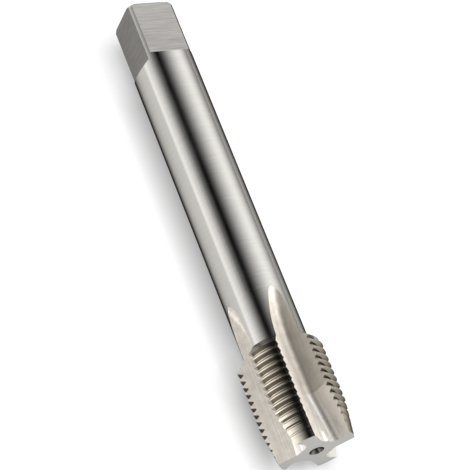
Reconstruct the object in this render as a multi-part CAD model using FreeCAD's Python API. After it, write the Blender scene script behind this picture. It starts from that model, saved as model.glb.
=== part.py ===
import FreeCAD, Part
import math
import os

from FreeCAD import Vector

# A ground machine tap for the G 1/2 parallel pipe thread, made from one bar of high-speed steel.
# It is drawn standing on its point, with its axis along Z and a flute open towards -Y, and laid
# down at the end: the point then faces -Y, the drive square +Y, and that flute opens upwards.

# Whole tool
overall_length = 125.0
shank_diameter = 16.0
thread_length = 24.6
shoulder_angle = 45.0

# Thread: 14 turns to the inch, 55 degree form, ground crests; first_root_height is the height of
# the root that crosses the +X direction just above the point
major_diameter = 20.955
threads_per_inch = 14.0
inch = 25.4
flank_angle = 55.0
depth_per_pitch = 0.640327
root_width_per_pitch = 0.167
first_root_height = 1.14
crest_clearance = 0.15

# Taper lead at the point
lead_half_angle = 8.0
point_diameter = 18.4

# Flutes: a V with a round root, ground by a wheel that leaves the shank in an arc
flute_count = 4
flute_half_angle = 24.3
core_radius = 4.4
flute_root_radius = 2.0
rake_angle = 4.0
full_flute_length = 25.3
wheel_radius = 30.0
run_out_turn = 60.0

# Spiral point: the flute ground again, sideways into the cutting face and a little deeper
spiral_point_length = 12.2
spiral_point_shift = 1.9
spiral_point_drop = 0.65

# Drive square, and the rounding of its far end
square_sides = 4
square_width = 12.0
square_length = 15.0
square_turn = 2.6
end_rounding = 0.8

# Centre holes in both ends
centre_mouth_diameter = 4.0
centre_pilot_diameter = 2.0
centre_pilot_length = 1.6
centre_cone_angle = 60.0
centre_tip_angle = 118.0

# Sizes that follow from those above
pitch = inch / threads_per_inch
thread_depth = depth_per_pitch * pitch
major_radius = major_diameter / 2
minor_radius = major_radius - thread_depth
shank_radius = shank_diameter / 2
point_radius = point_diameter / 2
lead_angle = math.degrees(math.atan(pitch / (math.pi * (major_radius + minor_radius))))
lead_length = (major_radius - point_radius) / math.tan(math.radians(lead_half_angle))
shoulder_length = (major_radius - shank_radius) / math.tan(math.radians(shoulder_angle))
square_start = overall_length - square_length
axis_height = major_radius * math.cos(math.radians(flute_half_angle))

groove_half_angle = 180 / flute_count - flute_half_angle / 2

axis = Vector(0, 0, 1)
overrun = 2.0


def turned(shape, degrees):
    """A copy of the shape, turned about the tool's axis."""
    copy = shape.copy()
    copy.rotate(Vector(0, 0, 0), axis, degrees)
    return copy


def turned_blank():
    """The bar as turned: point, taper lead, thread diameter, shoulder, shank and rounded-off end."""
    outline = [
        (shank_radius - end_rounding, overall_length),
        (0, overall_length),
        (0, 0),
        (point_radius, 0),
        (major_radius, lead_length),
        (major_radius, thread_length),
        (shank_radius, thread_length + shoulder_length),
        (shank_radius, overall_length - end_rounding),
    ]
    lines = Part.makePolygon([Vector(radius, 0, height) for radius, height in outline])
    side = end_rounding * math.sin(math.radians(45))
    rounding = Part.Arc(
        Vector(shank_radius, 0, overall_length - end_rounding),
        Vector(shank_radius - end_rounding + side, 0, overall_length - end_rounding + side),
        Vector(shank_radius - end_rounding, 0, overall_length),
    )
    wire = Part.Wire(lines.Edges + [rounding.toShape()])
    return Part.Face(wire).revolve(Vector(0, 0, 0), axis, 360)


def groove_piece():
    """The space between two threads over one land, its middle facing +X, and a little more both ways.

    The profile is turned about an axis that leans by the lead angle, which keeps within 0.01 mm of
    the helix over the width of a land. Its root is a narrow flat between straight flanks."""
    flank_slope = math.tan(math.radians(flank_angle / 2))
    mouth_radius = major_radius + crest_clearance
    root_half_width = root_width_per_pitch * pitch / 2
    mouth_half_width = root_half_width + (mouth_radius - minor_radius) * flank_slope
    profile = [
        (minor_radius, -root_half_width),
        (mouth_radius, -mouth_half_width),
        (mouth_radius, mouth_half_width),
        (minor_radius, root_half_width),
        (minor_radius, -root_half_width),
    ]
    face = Part.Face(Part.makePolygon([Vector(radius, 0, height) for radius, height in profile]))
    face.rotate(Vector(0, 0, 0), axis, -groove_half_angle)
    piece = face.revolve(Vector(0, 0, 0), axis, 2 * groove_half_angle)
    piece.rotate(Vector(0, 0, 0), Vector(1, 0, 0), lead_angle)
    return piece


def thread_space():
    """The helical space between the threads, as one piece for each tooth space of each land."""
    piece = groove_piece()
    lowest = math.floor((-overrun - first_root_height) / pitch)
    highest = math.ceil((thread_length + shoulder_length - first_root_height) / pitch)
    pieces = []
    for turn in range(lowest, highest + 1):
        for land in range(flute_count):
            share = (land + 0.5) / flute_count
            copy = turned(piece, share * 360)
            copy.translate(Vector(0, 0, first_root_height + (turn + share) * pitch))
            pieces.append(copy)
    return pieces


def flute_section(height):
    """Face of the flute at one height, for the flute whose middle faces -Y."""
    half_angle = math.radians(flute_half_angle)
    face_angle = math.radians(flute_half_angle - rake_angle)
    corner_x = major_radius * math.sin(half_angle)
    corner_y = major_radius * math.cos(half_angle)

    # Centre of the root arc: one root radius from the cutting face, and outside the core.
    along_x, along_y = math.sin(face_angle), math.cos(face_angle)
    across_x, across_y = -along_y, along_x
    start_x = corner_x + flute_root_radius * across_x
    start_y = corner_y + flute_root_radius * across_y
    centre_distance = core_radius + flute_root_radius
    along_start = start_x * along_x + start_y * along_y
    start_squared = start_x ** 2 + start_y ** 2
    reach = along_start - math.sqrt(along_start ** 2 - start_squared + centre_distance ** 2)
    centre_x = start_x - reach * along_x
    centre_y = start_y - reach * along_y
    cutting_tangent = (centre_x - flute_root_radius * across_x, centre_y - flute_root_radius * across_y)

    # The heel flank runs from the heel corner and is tangent to the same arc.
    to_centre_x = centre_x + corner_x
    to_centre_y = centre_y - corner_y
    distance = math.hypot(to_centre_x, to_centre_y)
    spread = math.asin(flute_root_radius / distance)
    heel_direction = math.atan2(to_centre_y, to_centre_x) - spread
    heel_length = math.sqrt(distance ** 2 - flute_root_radius ** 2)
    heel_x, heel_y = math.cos(heel_direction), math.sin(heel_direction)
    heel_tangent = (-corner_x + heel_length * heel_x, corner_y + heel_length * heel_y)

    middle_angle = (math.atan2(cutting_tangent[1] - centre_y, cutting_tangent[0] - centre_x)
                    + math.atan2(heel_tangent[1] - centre_y, heel_tangent[0] - centre_x)) / 2
    root_middle = (centre_x + flute_root_radius * math.cos(middle_angle),
                   centre_y + flute_root_radius * math.sin(middle_angle))

    # Both straight sides run on past the thread, so that the section is open to the outside.
    outside = overrun + major_radius - corner_y
    heel_outside = (-corner_x + heel_x / heel_y * outside, corner_y + outside)
    cutting_outside = (corner_x + along_x / along_y * outside, corner_y + outside)

    def place(point):
        return Vector(point[0], -point[1], height)

    wire = Part.Wire([
        Part.LineSegment(place(heel_outside), place(heel_tangent)).toShape(),
        Part.Arc(place(heel_tangent), place(root_middle), place(cutting_tangent)).toShape(),
        Part.LineSegment(place(cutting_tangent), place(cutting_outside)).toShape(),
        Part.LineSegment(place(cutting_outside), place(heel_outside)).toShape(),
    ])
    return Part.Face(wire)


def flute():
    """What the wheel takes out of one flute, with its run-out and its spiral point."""
    straight = flute_section(-overrun).extrude(Vector(0, 0, full_flute_length + overrun))
    wheel_axle = Vector(0, -(core_radius + wheel_radius), full_flute_length)
    run_out = flute_section(full_flute_length).revolve(wheel_axle, Vector(1, 0, 0), run_out_turn)
    reach = (spiral_point_length + overrun) / spiral_point_length
    slide = Vector(spiral_point_shift * reach, spiral_point_drop * reach, -spiral_point_length - overrun)
    spiral_point = flute_section(spiral_point_length).extrude(slide)
    return [straight, run_out, spiral_point]


def square_flat():
    """What is ground off one side of the drive square."""
    depth = shank_radius - square_width / 2 + overrun
    block = Part.makeBox(shank_diameter + 2 * overrun, depth, square_length + overrun)
    block.translate(Vector(-shank_radius - overrun, -square_width / 2 - depth, square_start))
    return turned(block, square_turn)


def centre_hole():
    """A centre hole that opens downwards at height 0."""
    mouth_radius = centre_mouth_diameter / 2
    pilot_radius = centre_pilot_diameter / 2
    cone_depth = (mouth_radius - pilot_radius) / math.tan(math.radians(centre_cone_angle / 2))
    tip_depth = pilot_radius / math.tan(math.radians(centre_tip_angle / 2))
    outline = [
        (0, 0),
        (mouth_radius, 0),
        (pilot_radius, cone_depth),
        (pilot_radius, cone_depth + centre_pilot_length),
        (0, cone_depth + centre_pilot_length + tip_depth),
        (0, 0),
    ]
    wire = Part.makePolygon([Vector(radius, 0, height) for radius, height in outline])
    return Part.Face(wire).revolve(Vector(0, 0, 0), axis, 360)


tap = turned_blank()
for index in range(flute_count):
    for cut in flute():
        tap = tap.cut(turned(cut, index * 360 / flute_count))
tap = tap.cut(thread_space())
for index in range(square_sides):
    tap = tap.cut(turned(square_flat(), index * 360 / square_sides))
tap = tap.cut(centre_hole())
end_hole = centre_hole()
end_hole.rotate(Vector(0, 0, 0), Vector(1, 0, 0), 180)
end_hole.translate(Vector(0, 0, overall_length))
tap = tap.cut(end_hole)

# Lay the tool down on its lands, with the middle of its length over the origin.
tap.rotate(Vector(0, 0, 0), Vector(1, 0, 0), -90)
tap.translate(Vector(0, -overall_length / 2, axis_height))

os.makedirs("parts", exist_ok=True)
tap.exportStep("parts/tap.step")
print("solids", len(tap.Solids), "valid", tap.isValid(), "volume", round(tap.Volume, 1), "faces", len(tap.Faces))
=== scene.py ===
import math
from collections import namedtuple

import bmesh
import bpy
from mathutils import Matrix, Vector
from mathutils.geometry import tessellate_polygon


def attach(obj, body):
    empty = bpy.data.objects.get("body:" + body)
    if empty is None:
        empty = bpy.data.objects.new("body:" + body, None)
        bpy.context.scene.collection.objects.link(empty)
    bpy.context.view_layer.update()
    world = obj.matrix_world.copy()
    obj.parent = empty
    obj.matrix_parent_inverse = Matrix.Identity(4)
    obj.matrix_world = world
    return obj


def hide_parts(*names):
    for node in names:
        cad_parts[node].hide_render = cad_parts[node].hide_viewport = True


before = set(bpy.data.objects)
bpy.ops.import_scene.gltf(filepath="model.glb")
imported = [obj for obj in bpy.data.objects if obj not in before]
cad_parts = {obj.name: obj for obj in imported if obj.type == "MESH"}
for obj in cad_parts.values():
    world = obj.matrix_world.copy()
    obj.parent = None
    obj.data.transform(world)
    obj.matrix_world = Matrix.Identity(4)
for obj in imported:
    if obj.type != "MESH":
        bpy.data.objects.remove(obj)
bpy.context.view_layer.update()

MM = 0.001

# Sizes of the tap in millimetres, with heights measured from its point. They are those of the CAD
# model, but for the mouths of the centre holes, which are narrower, and the drive flats, which end in
# a slope towards the shank and of which one is longer.
LENGTH = 125.0
SHANK_RADIUS = 8.0
THREAD_END = 24.6

# Thread: the 55 degree form, with arcs in the roots and over the crests
MAJOR_RADIUS = 10.4775
THREADS_PER_INCH = 14
INCH = 25.4
PITCH = INCH / THREADS_PER_INCH
DEPTH_PER_PITCH = 0.640327
ROUNDING_PER_PITCH = 0.137329
MINOR_RADIUS = MAJOR_RADIUS - DEPTH_PER_PITCH * PITCH
FORM_RADIUS = ROUNDING_PER_PITCH * PITCH
HALF_FORM_DEGREES = 27.5
HALF_FLANK = math.radians(HALF_FORM_DEGREES)
ROUNDING_TURN = math.radians(90 - HALF_FORM_DEGREES)
FIRST_ROOT = 1.14
SHOULDER_END = THREAD_END + MAJOR_RADIUS - SHANK_RADIUS

# Taper lead at the point
POINT_RADIUS = 9.2
LEAD_SLOPE = math.tan(math.radians(8.0))
LEAD_END = (MAJOR_RADIUS - POINT_RADIUS) / LEAD_SLOPE

# Flutes, with the wheel that they run out in
FLUTES = 4
QUARTER = math.tau / FLUTES
FLUTE_HALF = math.radians(24.3)
LAND_HALF = QUARTER / 2 - FLUTE_HALF
RAKE = math.radians(4.0)
FACE_ANGLE = FLUTE_HALF - RAKE
CORE_RADIUS = 4.4
ROOT_RADIUS = 2.0
FULL_FLUTE = 25.3
WHEEL_RADIUS = 30.0
AXIS_HEIGHT = MAJOR_RADIUS * math.cos(FLUTE_HALF)

# Spiral point: the section slides sideways into the cutting face, and deeper, towards the point
SPIRAL_LENGTH = 12.2
SPIRAL_SHIFT = 1.9
SPIRAL_DROP = 0.65

# Drive square: the height at which each flat starts, the height of the slope before it for each
# millimetre of its depth, and the rounding of the far end
SQUARE_SIDES = 4
SQUARE_HALF = 6.0
SQUARE_STARTS = (110.0, 110.0, 108.5, 110.0)
SQUARE_SLOPE = 0.7
SQUARE_TURN = math.radians(2.6)
END_ROUNDING = 0.8

# Centre holes: a cone, a pilot bore and its pointed bottom
CENTRE_MOUTH = 1.83
CENTRE_PILOT = 1.0
CENTRE_PILOT_LENGTH = 1.6
CENTRE_CONE_SLOPE = math.tan(math.radians(30.0))
CENTRE_TIP_SLOPE = math.tan(math.radians(59.0))
CENTRE_CONE = (CENTRE_MOUTH - CENTRE_PILOT) / CENTRE_CONE_SLOPE
CENTRE_DEPTH = CENTRE_CONE + CENTRE_PILOT_LENGTH
CENTRE_TIP = CENTRE_DEPTH + CENTRE_PILOT / CENTRE_TIP_SLOPE

# Faces round a quarter of the fluted part: along the heel side of a flute, of which the first ones
# are its flank, then along the cutting side, then over a land
HEEL_FACES = 13
FLANK_FACES = 10
CUT_FACES = 14
FLUTE_FACES = HEEL_FACES + CUT_FACES
LAND_FACES = 14
QUARTER_FACES = FLUTE_FACES + LAND_FACES

# Faces over a root or a crest of the thread, and along the run-out
ARC_FACES = 6
RUN_OUT_FACES = 36

# Faces over a drive flat, over the corner after it, over the rounding of the far end and round a
# centre hole
FLAT_FACES = 16
CORNER_FACES = 6
SIDE_FACES = FLAT_FACES + CORNER_FACES
ROUNDING_FACES = 6
HOLE_FACES = 48

# How much the flank's faces crowd towards its foot, and the shares of the heel side between which
# the foot lies
FLANK_CROWDING = 1.5
FIRST_FOOT = 0.5
LAST_FOOT = 0.92

# Turns of the thread that are worked out, from below the point to beyond the shoulder
TURNS = range(-2, 16)

# How far searches look, in millimetres, for the end of the heel side, for the corners of a land and
# for the end of the run-out. Then the least slide of the section and the least ground off a crest
# that count, and the steps of a search.
MEETING_BEFORE = 4.0
MEETING_AFTER = 2.4
SIDE_REACH = 16.0
RUN_OUT_REACH = 20.0
LEAST_SLIDE = 0.002
LEAST_GROUND = 1e-6
SEARCH_STEPS = 50
BISECTIONS = 36

# From the end of the run-out to the first ring of the shank
RUN_OUT_MARGIN = 0.4

# Distances in metres below which points merge, edges collapse and heights count as the same
MERGED = 2e-6
COLLAPSED = 1e-6
SAME_HEIGHT = 1e-7

# Edges look sharp from the first angle on, and from the second where two kinds of surface meet.
SHARP = math.radians(32)
SHARP_BORDER = math.radians(6)

# Kinds of surface, each with a material of its own
THREAD, FLUTE, SHANK, FLAT, END, CENTRE, SHOULDER, POINT = range(8)

# What a ring does over a land: its height at an angle from the land's middle, and the land's radius
# at a height and an angle
Land = namedtuple("Land", "height radius")


def laid_down(x, y, height):
    """A point of the upright tap, in metres in the frame that the tool lies in."""
    return Vector((x * MM, (height - LENGTH / 2) * MM, (AXIS_HEIGHT - y) * MM))


def round_axis(radius, angle, height):
    """A point at a distance and an angle from the axis."""
    return radius * math.cos(angle), radius * math.sin(angle), height


def bisect(function, low, high):
    """Where the function changes sign between two values."""
    negative = function(low) < 0
    for _ in range(BISECTIONS):
        middle = (low + high) / 2
        if (function(middle) < 0) == negative:
            low = middle
        else:
            high = middle
    return (low + high) / 2


# The flute's section, seen along the axis: x points to the cutting face and y outwards.
def flute_form():
    """Centre of the root arc, and the direction of the heel flank on its way in."""
    corner = (MAJOR_RADIUS * math.sin(FLUTE_HALF), MAJOR_RADIUS * math.cos(FLUTE_HALF))
    along = (math.sin(FACE_ANGLE), math.cos(FACE_ANGLE))
    start = (corner[0] - ROOT_RADIUS * along[1], corner[1] + ROOT_RADIUS * along[0])
    along_start = start[0] * along[0] + start[1] * along[1]
    left = along_start ** 2 - start[0] ** 2 - start[1] ** 2 + (CORE_RADIUS + ROOT_RADIUS) ** 2
    reach = along_start - math.sqrt(left)
    centre = (start[0] - reach * along[0], start[1] - reach * along[1])
    to_centre = (centre[0] + corner[0], centre[1] - corner[1])
    spread = math.asin(ROOT_RADIUS / math.hypot(*to_centre))
    return centre, math.atan2(to_centre[1], to_centre[0]) - spread


ROOT_CENTRE, HEEL_DIRECTION = flute_form()
ARC_START = HEEL_DIRECTION - math.pi / 2
ARC_END = -FACE_ANGLE
ARC_LENGTH = ROOT_RADIUS * (ARC_END - ARC_START)

# Where the root arc runs the way that the spiral point slides: the two sides of the flute meet
# there where the slide begins.
SLIDE_MEETING = ROOT_RADIUS * (math.atan2(-SPIRAL_DROP, SPIRAL_SHIFT) - math.pi / 2 - ARC_START)


def section_point(s):
    """A point of the section, s along it from the start of the root arc to the cutting face."""
    angle = min(max(ARC_START + s / ROOT_RADIUS, ARC_START), ARC_END)
    x = ROOT_CENTRE[0] + ROOT_RADIUS * math.cos(angle)
    y = ROOT_CENTRE[1] + ROOT_RADIUS * math.sin(angle)
    if s < 0:
        return x + s * math.cos(HEEL_DIRECTION), y + s * math.sin(HEEL_DIRECTION)
    over = max(0.0, s - ARC_LENGTH)
    return x + over * math.sin(FACE_ANGLE), y + over * math.cos(FACE_ANGLE)


def lifted(x, y, height):
    """The section's point in the run-out, where the wheel leaves the tool in an arc."""
    rise = max(0.0, height - FULL_FLUTE)
    axle = CORE_RADIUS + WHEEL_RADIUS
    return x, axle - math.sqrt(max(0.0, (axle - y) ** 2 - rise ** 2))


def spiral_slide(height):
    """How far the spiral point has moved the section at a height."""
    share = max(0.0, 1 - height / SPIRAL_LENGTH)
    return share * SPIRAL_SHIFT, -share * SPIRAL_DROP


def heel_side(s, height):
    """A point of the flute on the heel's side, which the spiral point leaves in place."""
    return lifted(*section_point(s), height)


def cutting_side(s, height):
    """A point of the flute on the cutting face's side, which the spiral point moves."""
    x, y = section_point(s)
    across, down = spiral_slide(height)
    return lifted(x + across, y + down, height)


def deepest(height):
    """The s at which the section comes nearest to the axis."""
    low, high = 0.0, ARC_LENGTH
    for _ in range(SEARCH_STEPS):
        third = (high - low) / 3
        one = low + third
        two = high - third
        if math.hypot(*heel_side(one, height)) < math.hypot(*heel_side(two, height)):
            high = two
        else:
            low = one
    return (low + high) / 2


def meeting(height):
    """The s at which the heel side ends, and the s at which the cutting side starts."""
    across, down = spiral_slide(height)
    if across < LEAST_SLIDE:
        share = min(max((height - SPIRAL_LENGTH) / (FULL_FLUTE - SPIRAL_LENGTH), 0.0), 1.0)
        s = SLIDE_MEETING * (1 - share) + deepest(height) * share
        return s, s
    heading = (math.cos(HEEL_DIRECTION), math.sin(HEEL_DIRECTION))

    def from_centre(s):
        """A point of the heel side, from the centre of the root arc of the cutting side."""
        x, y = section_point(s)
        return x - across - ROOT_CENTRE[0], y - down - ROOT_CENTRE[1]

    def outside(s):
        """How far a point of the heel side is outside the section of the cutting side."""
        dx, dy = from_centre(s)
        if dx * heading[0] + dy * heading[1] < 0:
            return dx * heading[1] - dy * heading[0] - ROOT_RADIUS
        return math.hypot(dx, dy) - ROOT_RADIUS

    heel_end = bisect(outside, SLIDE_MEETING - MEETING_BEFORE, SLIDE_MEETING + MEETING_AFTER)
    dx, dy = from_centre(heel_end)
    along = dx * heading[0] + dy * heading[1]
    if along < 0:
        return heel_end, along
    return heel_end, ROOT_RADIUS * ((math.atan2(dy, dx) - ARC_START) % math.tau)


def run_out_end():
    """The height at which the run-out leaves the shank."""

    def above_shank(height):
        return math.hypot(*heel_side(deepest(height), height)) - SHANK_RADIUS

    return bisect(above_shank, FULL_FLUTE, FULL_FLUTE + RUN_OUT_REACH)


RUN_OUT_END = run_out_end()


def envelope(height):
    """Radius of the ground blank over the thread: taper lead, full diameter, shoulder, shank."""
    lead = POINT_RADIUS + height * LEAD_SLOPE
    shoulder = MAJOR_RADIUS - (height - THREAD_END)
    return max(SHANK_RADIUS, min(lead, MAJOR_RADIUS, shoulder))


def form(offset):
    """Radius of the thread form at a distance along the axis from the middle of a root."""
    offset = abs((offset + PITCH / 2) % PITCH - PITCH / 2)
    tangent = FORM_RADIUS * math.cos(HALF_FLANK)
    if offset < tangent:
        return MINOR_RADIUS + FORM_RADIUS - math.sqrt(FORM_RADIUS ** 2 - offset ** 2)
    if offset > PITCH / 2 - tangent:
        left = PITCH / 2 - offset
        return MAJOR_RADIUS - FORM_RADIUS + math.sqrt(FORM_RADIUS ** 2 - left ** 2)
    start = MINOR_RADIUS + FORM_RADIUS * (1 - math.sin(HALF_FLANK))
    return start + (offset - tangent) / math.tan(HALF_FLANK)


def helix(angle):
    """Rise of the right-hand thread over an angle."""
    return PITCH * angle / math.tau


def arc_heights(middle):
    """Heights of the rings over the arc of a root or a crest."""
    half = ARC_FACES // 2
    turns = [ROUNDING_TURN * step / half for step in range(-half, half + 1)]
    return [middle + FORM_RADIUS * math.sin(turn) for turn in turns]


def crest_heights(root):
    """Heights of the rings over the crest that follows a root, rounded or ground flat."""
    crest = root + PITCH / 2
    heights = arc_heights(crest)

    def stands_out(height):
        return form(height - root) - envelope(height)

    if max(stands_out(height) for height in heights) <= LEAST_GROUND:
        return heights
    # The crest is ground away here: the rings run from one edge of the flat to the other.
    edge = FORM_RADIUS * math.cos(HALF_FLANK)
    low = root + edge
    high = root + PITCH - edge
    if stands_out(low) < 0:
        low = bisect(stands_out, low, crest)
    if stands_out(high) < 0:
        high = bisect(stands_out, crest, high)
    heights = [low + (high - low) * step / ARC_FACES for step in range(ARC_FACES + 1)]
    # Where the blank has a corner, the nearest ring moves to it.
    for corner in (LEAD_END, THREAD_END):
        if heights[0] < corner < heights[-1]:
            nearest = min(range(1, ARC_FACES), key=lambda k: abs(heights[k] - corner))
            heights[nearest] = corner
    return heights


def land_in_thread(middle_height, first_root):
    """A land where a ring crosses its middle at a height. first_root is a root's height there."""

    def height_at(angle):
        return min(max(middle_height + helix(angle), 0.0), SHOULDER_END)

    def radius_at(height, angle):
        return min(envelope(height), form(height - helix(angle) - first_root))

    return Land(height_at, radius_at)


def land_in_run_out(level):
    """A land where a level ring crosses it."""
    return Land(lambda angle: level, lambda height, angle: SHANK_RADIUS)


def flute_ends(before, after):
    """Where the flute between two lands ends: the height and the s at the heel, then at the cutting
    edge."""
    heel_height = before.height(LAND_HALF)
    cut_height = after.height(-LAND_HALF)

    def heel_gap(s):
        x, y = heel_side(s, heel_height)
        return math.hypot(x, y) - before.radius(heel_height, math.atan2(x, y) + QUARTER / 2)

    def cut_gap(s):
        x, y = cutting_side(s, cut_height)
        return math.hypot(x, y) - after.radius(cut_height, math.atan2(x, y) - QUARTER / 2)

    heel_s, _ = meeting(heel_height)
    if heel_gap(heel_s) < 0:
        heel_s = bisect(heel_gap, -SIDE_REACH, heel_s)
    _, cut_s = meeting(cut_height)
    if cut_gap(cut_s) < 0:
        cut_s = bisect(cut_gap, cut_s, ARC_LENGTH + SIDE_REACH)
    return heel_height, heel_s, cut_height, cut_s


def heel_share(step, start, end, height):
    """How far a step is along the heel side. The flank's faces end where the spiral point's grinding
    marks begin, which is at the foot of the flank at the tip, and further in higher up."""
    marks = SLIDE_MEETING * min(height / SPIRAL_LENGTH, 1.0)
    foot = min(max((marks - start) / (end - start), FIRST_FOOT), LAST_FOOT)
    if step <= FLANK_FACES:
        return foot * (1 - (1 - step / FLANK_FACES) ** FLANK_CROWDING)
    return foot + (1 - foot) * (step - FLANK_FACES) / (HEEL_FACES - FLANK_FACES)


def turned(point, middle):
    """A point of the section, turned to the flute whose middle is at an angle."""
    x, y = point
    return y * math.cos(middle) - x * math.sin(middle), y * math.sin(middle) + x * math.cos(middle)


def ring_points(lands):
    """One ring of points, over each flute and then over the land after it."""
    points = []
    ends = [flute_ends(lands[index - 1], lands[index]) for index in range(FLUTES)]
    for index, land in enumerate(lands):
        middle = index * QUARTER
        heel_height, heel_s, cut_height, cut_s = ends[index]
        for step in range(FLUTE_FACES + 1):
            share = step / FLUTE_FACES
            height = heel_height + (cut_height - heel_height) * share
            heel_end, cut_start = meeting(height)
            if step <= HEEL_FACES:
                s = heel_s + (heel_end - heel_s) * heel_share(step, heel_s, heel_end, height)
                point = heel_side(s, height)
            else:
                s = cut_start + (cut_s - cut_start) * (step - HEEL_FACES) / CUT_FACES
                point = cutting_side(s, height)
            points.append((*turned(point, middle), height))
        next_height, next_s, _, _ = ends[(index + 1) % FLUTES]
        start = turned(cutting_side(cut_s, cut_height), middle)
        end = turned(heel_side(next_s, next_height), middle + QUARTER)
        first = math.atan2(start[1], start[0])
        last = first + (math.atan2(end[1], end[0]) - first) % math.tau
        land_middle = middle + QUARTER / 2
        for step in range(1, LAND_FACES):
            angle = first + (last - first) * step / LAND_FACES
            off = (angle - land_middle + math.pi) % math.tau - math.pi
            height = land.height(off)
            points.append(round_axis(land.radius(height, off), angle, height))
    return points


def thread_rings():
    """Rings over the thread. Each rises with it over the lands, and closes over the first flute."""
    columns = []
    for land in range(FLUTES):
        first_root = FIRST_ROOT + helix((land + 0.5) * QUARTER)
        column = []
        for turn in TURNS:
            root = first_root + turn * PITCH
            for height in arc_heights(root) + crest_heights(root):
                column.append(land_in_thread(height, first_root))
        columns.append(column)
    return [ring_points(lands) for lands in zip(*columns)]


def run_out_rings():
    """Level rings over the run-out, closer together where the flutes end."""
    rings = []
    for step in range(1, RUN_OUT_FACES + 1):
        share = 1 - (1 - step / RUN_OUT_FACES) ** 2
        land = land_in_run_out(SHOULDER_END + (RUN_OUT_END - SHOULDER_END) * share)
        rings.append(ring_points([land] * FLUTES))
    return rings


def square_radius(angle, limit):
    """Radius of the drive end at an angle: flats between corners that are rounded to a limit."""
    off = (angle - SQUARE_TURN + QUARTER / 2) % QUARTER - QUARTER / 2
    return min(limit, SQUARE_HALF / math.cos(off))


def square_angles():
    """Angles of the points round the shank and the drive end: over each flat and its corner."""
    half = FLAT_FACES // 2
    half_flat = math.acos(SQUARE_HALF / SHANK_RADIUS)
    corner = QUARTER - 2 * half_flat
    angles = []
    for side in range(SQUARE_SIDES):
        base = SQUARE_TURN + side * QUARTER
        angles += [base + half_flat * (step / half) for step in range(-half, half + 1)]
        angles += [base + half_flat + corner * step / CORNER_FACES for step in range(1, CORNER_FACES)]
    return angles


def square_ends(angles):
    """Where the flats end towards the shank: for each angle the height at which the slope there meets
    the shank, and the height at which it meets the flat."""
    on_shank, on_flat = [], []
    for index, angle in enumerate(angles):
        side, step = divmod(index, SIDE_FACES)
        start = SQUARE_STARTS[side]
        following = SQUARE_STARTS[(side + 1) % SQUARE_SIDES]
        level = start + (following - start) * max(0, step - FLAT_FACES) / CORNER_FACES
        above = SHANK_RADIUS * math.cos(angle - SQUARE_TURN - side * QUARTER) - SQUARE_HALF
        on_shank.append(level - max(0.0, above) * SQUARE_SLOPE)
        on_flat.append(level)
    return on_shank, on_flat


def add_ring(mesh, points):
    """Vertices at the points of a ring."""
    return [mesh.verts.new(laid_down(*point)) for point in points]


def join(mesh, one, two, kind_of):
    """Faces between two rings of vertices. kind_of gives the kind of each by its number."""
    for k in range(len(one)):
        after = (k + 1) % len(one)
        face = mesh.faces.new((one[k], one[after], two[after], two[k]))
        face.material_index = kind_of(k)


def add_fluted_end(mesh):
    """The thread, the shoulder and the flutes, to the end of the run-out."""
    threaded = thread_rings()
    rings = threaded + run_out_rings()
    made = [add_ring(mesh, points) for points in rings]
    middles = [flute * QUARTER_FACES + FLUTE_FACES // 2 for flute in range(FLUTES)]
    for index in range(len(made) - 1):
        land_kind = THREAD if index + 1 < len(threaded) else SHANK
        levels = [rings[index][middle][2] for middle in middles]

        def kind_of(k, land_kind=land_kind, levels=levels):
            flute, step = divmod(k, QUARTER_FACES)
            if step >= FLUTE_FACES:
                return land_kind
            return POINT if step >= FLANK_FACES and levels[flute] < SPIRAL_LENGTH else FLUTE

        join(mesh, made[index], made[index + 1], kind_of)
    bmesh.ops.remove_doubles(mesh, verts=mesh.verts, dist=MERGED)


def open_edges(mesh, height):
    """The edges at a height of the tap that have only one face."""
    level = (height - LENGTH / 2) * MM
    return [edge for edge in mesh.edges
            if edge.is_boundary and all(abs(vert.co.y - level) < SAME_HEIGHT for vert in edge.verts)]


def point_rim(mesh):
    """The vertices of the open rim at the point, in their order round it."""
    beside = {}
    for edge in open_edges(mesh, 0.0):
        one, two = edge.verts
        beside.setdefault(one, []).append(two)
        beside.setdefault(two, []).append(one)
    start = next(iter(beside))
    rim = [start]
    before, here = start, beside[start][0]
    while here is not start:
        rim.append(here)
        one, two = beside[here]
        before, here = here, (two if one is before else one)
    return rim


def add_centre_hole(mesh, height_at):
    """A centre hole. height_at gives the height at a depth in it. The vertices round its mouth are
    returned."""
    rings = []
    for radius, depth in ((CENTRE_MOUTH, 0.0), (CENTRE_PILOT, CENTRE_CONE), (CENTRE_PILOT, CENTRE_DEPTH)):
        angles = [math.tau * k / HOLE_FACES for k in range(HOLE_FACES)]
        rings.append(add_ring(mesh, [round_axis(radius, angle, height_at(depth)) for angle in angles]))
    for one, two in zip(rings, rings[1:]):
        join(mesh, one, two, lambda k: CENTRE)
    bottom = rings[-1]
    tip = mesh.verts.new(laid_down(0, 0, height_at(CENTRE_TIP)))
    for k in range(HOLE_FACES):
        face = mesh.faces.new((bottom[k], bottom[(k + 1) % HOLE_FACES], tip))
        face.material_index = CENTRE
    return rings[0]


def add_end_face(mesh, rim, mouth):
    """A flat end between its rim and the mouth of its centre hole."""
    loops = [[vert.co for vert in rim], [vert.co for vert in mouth]]
    verts = rim + mouth
    for triangle in tessellate_polygon(loops):
        face = mesh.faces.new([verts[k] for k in triangle])
        face.material_index = END


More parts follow.
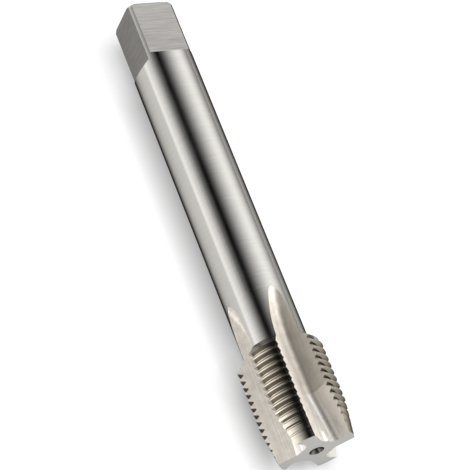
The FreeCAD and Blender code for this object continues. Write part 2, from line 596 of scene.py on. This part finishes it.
def add_drive_end(mesh):
    """The shank and the drive square. The vertices round the start of the shank are returned."""
    angles = square_angles()

    def add_outline(limit, heights):
        points = [round_axis(square_radius(angle, limit), angle, height)
                  for angle, height in zip(angles, heights)]
        return add_ring(mesh, points)

    def add_circle(heights):
        points = [round_axis(SHANK_RADIUS, angle, height) for angle, height in zip(angles, heights)]
        return add_ring(mesh, points)

    on_shank, on_flat = square_ends(angles)
    lower = add_circle([RUN_OUT_END + RUN_OUT_MARGIN] * len(angles))
    upper = add_circle(on_shank)
    join(mesh, lower, upper, lambda k: SHANK)
    outlines = [add_outline(SHANK_RADIUS, on_flat)]
    join(mesh, upper, outlines[0], lambda k: END)
    for step in range(ROUNDING_FACES + 1):
        turn = math.radians(90 / ROUNDING_FACES * step)
        limit = SHANK_RADIUS - END_ROUNDING * (1 - math.cos(turn))
        height = LENGTH - END_ROUNDING * (1 - math.sin(turn))
        outlines.append(add_outline(limit, [height] * len(angles)))
    for one, two in zip(outlines, outlines[1:]):
        join(mesh, one, two, lambda k: FLAT if k % SIDE_FACES < FLAT_FACES else SHANK)
    mouth = add_centre_hole(mesh, lambda depth: LENGTH - depth)
    add_end_face(mesh, outlines[-1], mouth)
    return lower


def join_to_run_out(mesh, lower):
    """Faces from the last ring of the run-out to the start of the shank."""
    count = len(lower)
    shank_edges = [mesh.edges.get((lower[k], lower[(k + 1) % count])) for k in range(count)]
    edges = open_edges(mesh, RUN_OUT_END) + shank_edges
    for face in bmesh.ops.bridge_loops(mesh, edges=edges)["faces"]:
        face.material_index = SHANK


def mark_shoulder(mesh):
    """The lands over the shoulder get a kind of their own."""
    start = (THREAD_END - LENGTH / 2) * MM
    for face in mesh.faces:
        if face.material_index == THREAD and face.calc_center_median().y > start:
            face.material_index = SHOULDER


def shade(mesh):
    """Smooth faces with sharp edges between them."""
    for face in mesh.faces:
        face.smooth = True
    for edge in mesh.edges:
        if len(edge.link_faces) == 2:
            one, two = edge.link_faces
            different = one.material_index != two.material_index
            turn = edge.calc_face_angle(0.0)
            edge.smooth = not (turn > SHARP or (different and turn > SHARP_BORDER))


def build_tap():
    """The whole tap, as one closed mesh."""
    mesh = bmesh.new()
    add_fluted_end(mesh)
    # The rim is found before the centre hole adds open edges of its own.
    rim = point_rim(mesh)
    add_end_face(mesh, rim, add_centre_hole(mesh, lambda depth: depth))
    join_to_run_out(mesh, add_drive_end(mesh))
    bmesh.ops.remove_doubles(mesh, verts=mesh.verts, dist=MERGED)
    bmesh.ops.dissolve_degenerate(mesh, edges=mesh.edges, dist=COLLAPSED)
    bmesh.ops.recalc_face_normals(mesh, faces=mesh.faces)
    mark_shoulder(mesh)
    shade(mesh)
    data = bpy.data.meshes.new("tap_ground")
    mesh.to_mesh(data)
    mesh.free()
    tap = bpy.data.objects.new("tap_ground", data)
    bpy.context.collection.objects.link(tap)
    return tap


def feed(tree, entry, value):
    """Link an output to a node's input, or set the input to a value."""
    if isinstance(value, bpy.types.NodeSocket):
        tree.links.new(value, entry)
    else:
        entry.default_value = value


def new_node(tree, kind, inputs):
    """A node with its inputs fed by name."""
    node = tree.nodes.new(kind)
    for name, value in inputs.items():
        feed(tree, node.inputs[name], value)
    return node


def maths(tree, operation, *values):
    """The result of an operation on numbers."""
    node = tree.nodes.new("ShaderNodeMath")
    node.operation = operation
    for entry, value in zip(node.inputs, values):
        feed(tree, entry, value)
    return node.outputs["Value"]


def vectors(tree, operation, *values):
    """A node that does an operation on vectors."""
    node = tree.nodes.new("ShaderNodeVectorMath")
    node.operation = operation
    for entry, value in zip(node.inputs, values):
        feed(tree, entry, value)
    return node


def remap(tree, value, start, end, smooth=True):
    """A value carried over, smoothly or in a line. start and end are each a value and its result."""
    node = new_node(tree, "ShaderNodeMapRange", {
        "Value": value, "From Min": start[0], "From Max": end[0], "To Min": start[1], "To Max": end[1],
    })
    node.interpolation_type = "SMOOTHSTEP" if smooth else "LINEAR"
    return node.outputs["Result"]


def noise(tree, place, scale, detail, roughness=0.5):
    """Noise between 0 and 1, mostly near 0.5."""
    node = new_node(tree, "ShaderNodeTexNoise", {
        "Vector": place, "Scale": scale, "Detail": detail, "Roughness": roughness,
    })
    return node.outputs["Fac"]


# Marks to the metre that grinding leaves along each axis: round the tool, along it, in rings round
# the shoulder, or the same all ways. Then the noise that they are made of, and their depth in metres.
AROUND = (150, 3200, 150)
ALONG = (3200, 60, 3200)
RINGS = (60, 1500, 60)
EVEN = (3000, 3000, 3000)
MARK_DETAIL = 4.0
MARK_ROUGHNESS = 0.7
MARK_DEPTH = 0.00002

# Patches to the metre, and their detail, in which the brightness and the roughness vary. Then the
# share by which the roughness does.
BRIGHT_PATCHES = (500.0, 3.0)
ROUGH_PATCHES = (90.0, 2.0)
ROUGHNESS_SPREAD = 0.15

# Levels of the noise at which what it varies is least and most
MARK_ENDS = (0.25, 0.75)
BRIGHT_ENDS = (0.3, 0.7)
ROUGH_ENDS = (0.35, 0.65)

# How far a face looks along the tool where it starts to count as a flank, and where it does in full; flanks
# are painted darker, as shade.
# Then how far it looks against the way the tool turns where it counts as a cutting side in full, and
# where it no longer does; cutting sides are painted darker, as shade.
FLANK_SHADE_SLOPES = (0.45, 0.85)
CUTTING_SHADE_LEANS = (-0.9, -0.2)


def ground_steel(name, colour, edge, roughness, marks, contrast, bump,
                 flank_shade=1.0, cutting=1.0, gloss=1.0, mottle=0.0):
    """Bare ground steel. marks gives the marks to the metre along each axis, contrast how strongly
    they vary in brightness, and edge the tint of the steel seen at a low angle. The flank factor is
    the brightness of faces that look along the tool, and the cutting factor that of faces that look
    the way the tool turns: both are painted shade, darkening the colour by the way a face points.
    gloss is the share of the light that is mirrored; the marks scatter the rest. mottle is how
    strongly the brightness varies in patches."""
    material = bpy.data.materials.new(name)
    material.use_nodes = True
    tree = material.node_tree
    shader = tree.nodes["Principled BSDF"]
    coords = tree.nodes.new("ShaderNodeTexCoord")
    place = coords.outputs["Object"]
    normal = coords.outputs["Normal"]

    stretched = new_node(tree, "ShaderNodeMapping", {"Vector": place, "Scale": marks})
    grain = noise(tree, stretched.outputs["Vector"], 1.0, MARK_DETAIL, MARK_ROUGHNESS)
    factors = [remap(tree, grain, (MARK_ENDS[0], 1 - contrast), (MARK_ENDS[1], 1 + contrast), smooth=False)]
    if mottle > 0.0:
        patches = noise(tree, place, *BRIGHT_PATCHES)
        factors.append(remap(tree, patches, (BRIGHT_ENDS[0], 1 - mottle), (BRIGHT_ENDS[1], 1 + mottle)))
    # Painted shade: faces that look along the tool, the thread's flanks, are darkened.
    if flank_shade != 1.0:
        direction = new_node(tree, "ShaderNodeSeparateXYZ", {"Vector": normal})
        slope = maths(tree, "ABSOLUTE", direction.outputs["Y"])
        factors.append(remap(tree, slope, (FLANK_SHADE_SLOPES[0], 1.0), (FLANK_SHADE_SLOPES[1], flank_shade)))
    # Painted shade: faces that look the way the tool turns, the cutting faces, are darkened.
    if cutting != 1.0:
        from_axis = vectors(tree, "SUBTRACT", place, (0, 0, AXIS_HEIGHT * MM))
        around = vectors(tree, "CROSS_PRODUCT", (0, 1, 0), from_axis.outputs["Vector"])
        unit = vectors(tree, "NORMALIZE", around.outputs["Vector"])
        facing = vectors(tree, "DOT_PRODUCT", unit.outputs["Vector"], normal)
        lean = facing.outputs["Value"]
        factors.append(remap(tree, lean, (CUTTING_SHADE_LEANS[0], cutting), (CUTTING_SHADE_LEANS[1], 1.0)))
    brightness = factors[0]
    for factor in factors[1:]:
        brightness = maths(tree, "MULTIPLY", brightness, factor)
    tint = vectors(tree, "SCALE", colour)
    feed(tree, tint.inputs["Scale"], brightness)

    clouds = noise(tree, place, *ROUGH_PATCHES)
    smoothest = roughness * (1 - ROUGHNESS_SPREAD)
    roughest = roughness * (1 + ROUGHNESS_SPREAD)
    rough = remap(tree, clouds, (ROUGH_ENDS[0], smoothest), (ROUGH_ENDS[1], roughest), smooth=False)
    relief = new_node(tree, "ShaderNodeBump", {"Strength": bump, "Distance": MARK_DEPTH, "Height": grain})
    for entry, value in (
        ("Base Color", tint.outputs["Vector"]),
        ("Metallic", gloss),
        ("Specular Tint", (edge, edge, edge, 1)),
        ("Roughness", rough),
        ("Normal", relief.outputs["Normal"]),
    ):
        feed(tree, shader.inputs[entry], value)
    return material


tap = build_tap()

# Finishes, in the order of the kinds of surface
for finish in (
    # The thread's flanks are darkened by painted shade.
    ground_steel("thread_steel", colour=(0.50, 0.455, 0.39), edge=0.1, roughness=0.16,
                 marks=AROUND, contrast=0.12, bump=0.1, flank_shade=0.66),
    # The flute's cutting faces are darkened by painted shade.
    ground_steel("flute_steel", colour=(0.87, 0.81, 0.73), edge=1.0, roughness=0.5,
                 marks=ALONG, contrast=0.16, bump=0.3, cutting=0.46, gloss=0.35, mottle=0.07),
    ground_steel("shank_steel", colour=(0.50, 0.485, 0.46), edge=0.02, roughness=0.16,
                 marks=AROUND, contrast=0.07, bump=0.1),
    ground_steel("square_steel", colour=(0.32, 0.308, 0.295), edge=0.0, roughness=0.34,
                 marks=AROUND, contrast=0.25, bump=0.8),
    ground_steel("end_steel", colour=(0.44, 0.43, 0.41), edge=1.0, roughness=0.45,
                 marks=EVEN, contrast=0.06, bump=0.3),
    # The centre holes are painted dark: the shade inside the recess is painted into the colour.
    ground_steel("centre_steel_painted_shade", colour=(0.10, 0.092, 0.084), edge=0.2, roughness=0.3,
                 marks=EVEN, contrast=0.1, bump=0.2),
    ground_steel("shoulder_steel", colour=(0.50, 0.48, 0.45), edge=0.4, roughness=0.22,
                 marks=RINGS, contrast=0.6, bump=0.8),
    # The point's cutting faces are darkened by painted shade.
    ground_steel("point_steel", colour=(1.0, 0.95, 0.89), edge=1.0, roughness=0.3,
                 marks=ALONG, contrast=0.12, bump=0.3, cutting=0.55, gloss=0.4, mottle=0.03),
):
    tap.data.materials.append(finish)
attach(tap, "root")
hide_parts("tap")

# Floor, in metres. Its glow is dimmed where the tool, within a reach, hides the sky from it.
FLOOR_REACH = 3
FLOOR_GREY = 0.22
FLOOR_ROUGHNESS = 0.9
FLOOR_GLOW = 0.88
SHADOW_REACH = 0.007
SHADOW_STRENGTH = 0.8
SHADOW_SAMPLES = 16


def floor_paint():
    """White paint. The glow makes it white for the eye and in the metal, and keeps the tool's shadow."""
    paint = bpy.data.materials.new("floor_paint")
    paint.use_nodes = True
    tree = paint.node_tree
    path = tree.nodes.new("ShaderNodeLightPath")
    seen = path.outputs["Is Camera Ray"]
    for name in ("Is Glossy Ray", "Is Transmission Ray"):
        seen = maths(tree, "MAXIMUM", seen, path.outputs[name])
    open_sky = new_node(tree, "ShaderNodeAmbientOcclusion", {"Distance": SHADOW_REACH})
    open_sky.samples = SHADOW_SAMPLES
    shaded = maths(tree, "POWER", open_sky.outputs["AO"], SHADOW_STRENGTH)
    glow = maths(tree, "MULTIPLY", maths(tree, "MULTIPLY", shaded, FLOOR_GLOW), seen)
    shader = tree.nodes["Principled BSDF"]
    for entry, value in (
        ("Base Color", (FLOOR_GREY, FLOOR_GREY, FLOOR_GREY, 1)),
        ("Roughness", FLOOR_ROUGHNESS),
        ("Specular IOR Level", 0.0),
        ("Emission Color", (1, 1, 1, 1)),
        ("Emission Strength", glow),
    ):
        feed(tree, shader.inputs[entry], value)
    return paint


floor_data = bpy.data.meshes.new("floor")
floor_corners = [(x * FLOOR_REACH, y * FLOOR_REACH, 0) for x, y in ((-1, -1), (1, -1), (1, 1), (-1, 1))]
floor_data.from_pydata(floor_corners, [], [(0, 1, 2, 3)])
floor = bpy.data.objects.new("floor", floor_data)
bpy.context.collection.objects.link(floor)
floor.data.materials.append(floor_paint())

# Light: two long soft lights beside the tool, with a dark gap between them overhead. An edge is two
# angles in degrees, from straight up towards +X: where the light is dark and where it is full.
LEFT_LEVEL = 1.8
LEFT_EDGE = (-31, -94)
RIGHT_LEVEL = 1.68
RIGHT_UPPER_EDGE = (-30, 50)
RIGHT_LOWER_EDGE = (112, 44)

# Both are brighter except towards the drive end. That starts at a lean towards +Y, in degrees, and
# is full at a lesser one.
FRONT_LEVEL = 1.6
FRONT_START = 24
FRONT_FULL = 2


def studio():
    """The world, bright and dark by direction."""
    world = bpy.data.worlds.new("studio")
    world.use_nodes = True
    tree = world.node_tree
    coords = tree.nodes.new("ShaderNodeTexCoord")
    parts = new_node(tree, "ShaderNodeSeparateXYZ", {"Vector": coords.outputs["Generated"]})
    lean = maths(tree, "ARCTAN2", parts.outputs["X"], parts.outputs["Z"])

    def soft_edge(edge, level):
        dark, full = edge
        return remap(tree, lean, (math.radians(dark), 0.0), (math.radians(full), level))

    left = soft_edge(LEFT_EDGE, LEFT_LEVEL)
    right_upper = soft_edge(RIGHT_UPPER_EDGE, RIGHT_LEVEL)
    right_lower = soft_edge(RIGHT_LOWER_EDGE, 1.0)
    both = maths(tree, "ADD", left, maths(tree, "MULTIPLY", right_upper, right_lower))
    front_start = math.sin(math.radians(FRONT_START))
    front_full = math.sin(math.radians(FRONT_FULL))
    front = remap(tree, parts.outputs["Y"], (front_start, 1.0), (front_full, FRONT_LEVEL))
    background = tree.nodes["Background"]
    feed(tree, background.inputs["Color"], (1, 1, 1, 1))
    feed(tree, background.inputs["Strength"], maths(tree, "MULTIPLY", both, front))
    return world


bpy.context.scene.world = studio()

# Camera: its sensor and lens, and its place, all in millimetres, the distances in metres between
# which it sees, and the ways that its right, its top and its back face
SENSOR_WIDTH = 36.0
FOCAL_LENGTH = 180.5
NEAREST = 0.01
FARTHEST = 20
CAMERA_PLACE = Vector((-236.52, -256.34, 451.92))
CAMERA_RIGHT = Vector((0.89667, -0.33328, 0.2914))
CAMERA_UP = Vector((0.13119, 0.8287, 0.5441))
CAMERA_BACK = Vector((-0.42282, -0.44965, 0.78679))

camera_data = bpy.data.cameras.new("camera")
camera_data.sensor_width = SENSOR_WIDTH
camera_data.lens = FOCAL_LENGTH
camera_data.clip_start = NEAREST
camera_data.clip_end = FARTHEST
camera = bpy.data.objects.new("camera", camera_data)
bpy.context.collection.objects.link(camera)
camera_turn = Matrix((CAMERA_RIGHT, CAMERA_UP, CAMERA_BACK)).transposed().to_4x4()
camera.matrix_world = Matrix.Translation(CAMERA_PLACE * MM) @ camera_turn
bpy.context.scene.camera = camera
bpy.context.scene.view_settings.view_transform = "Standard"
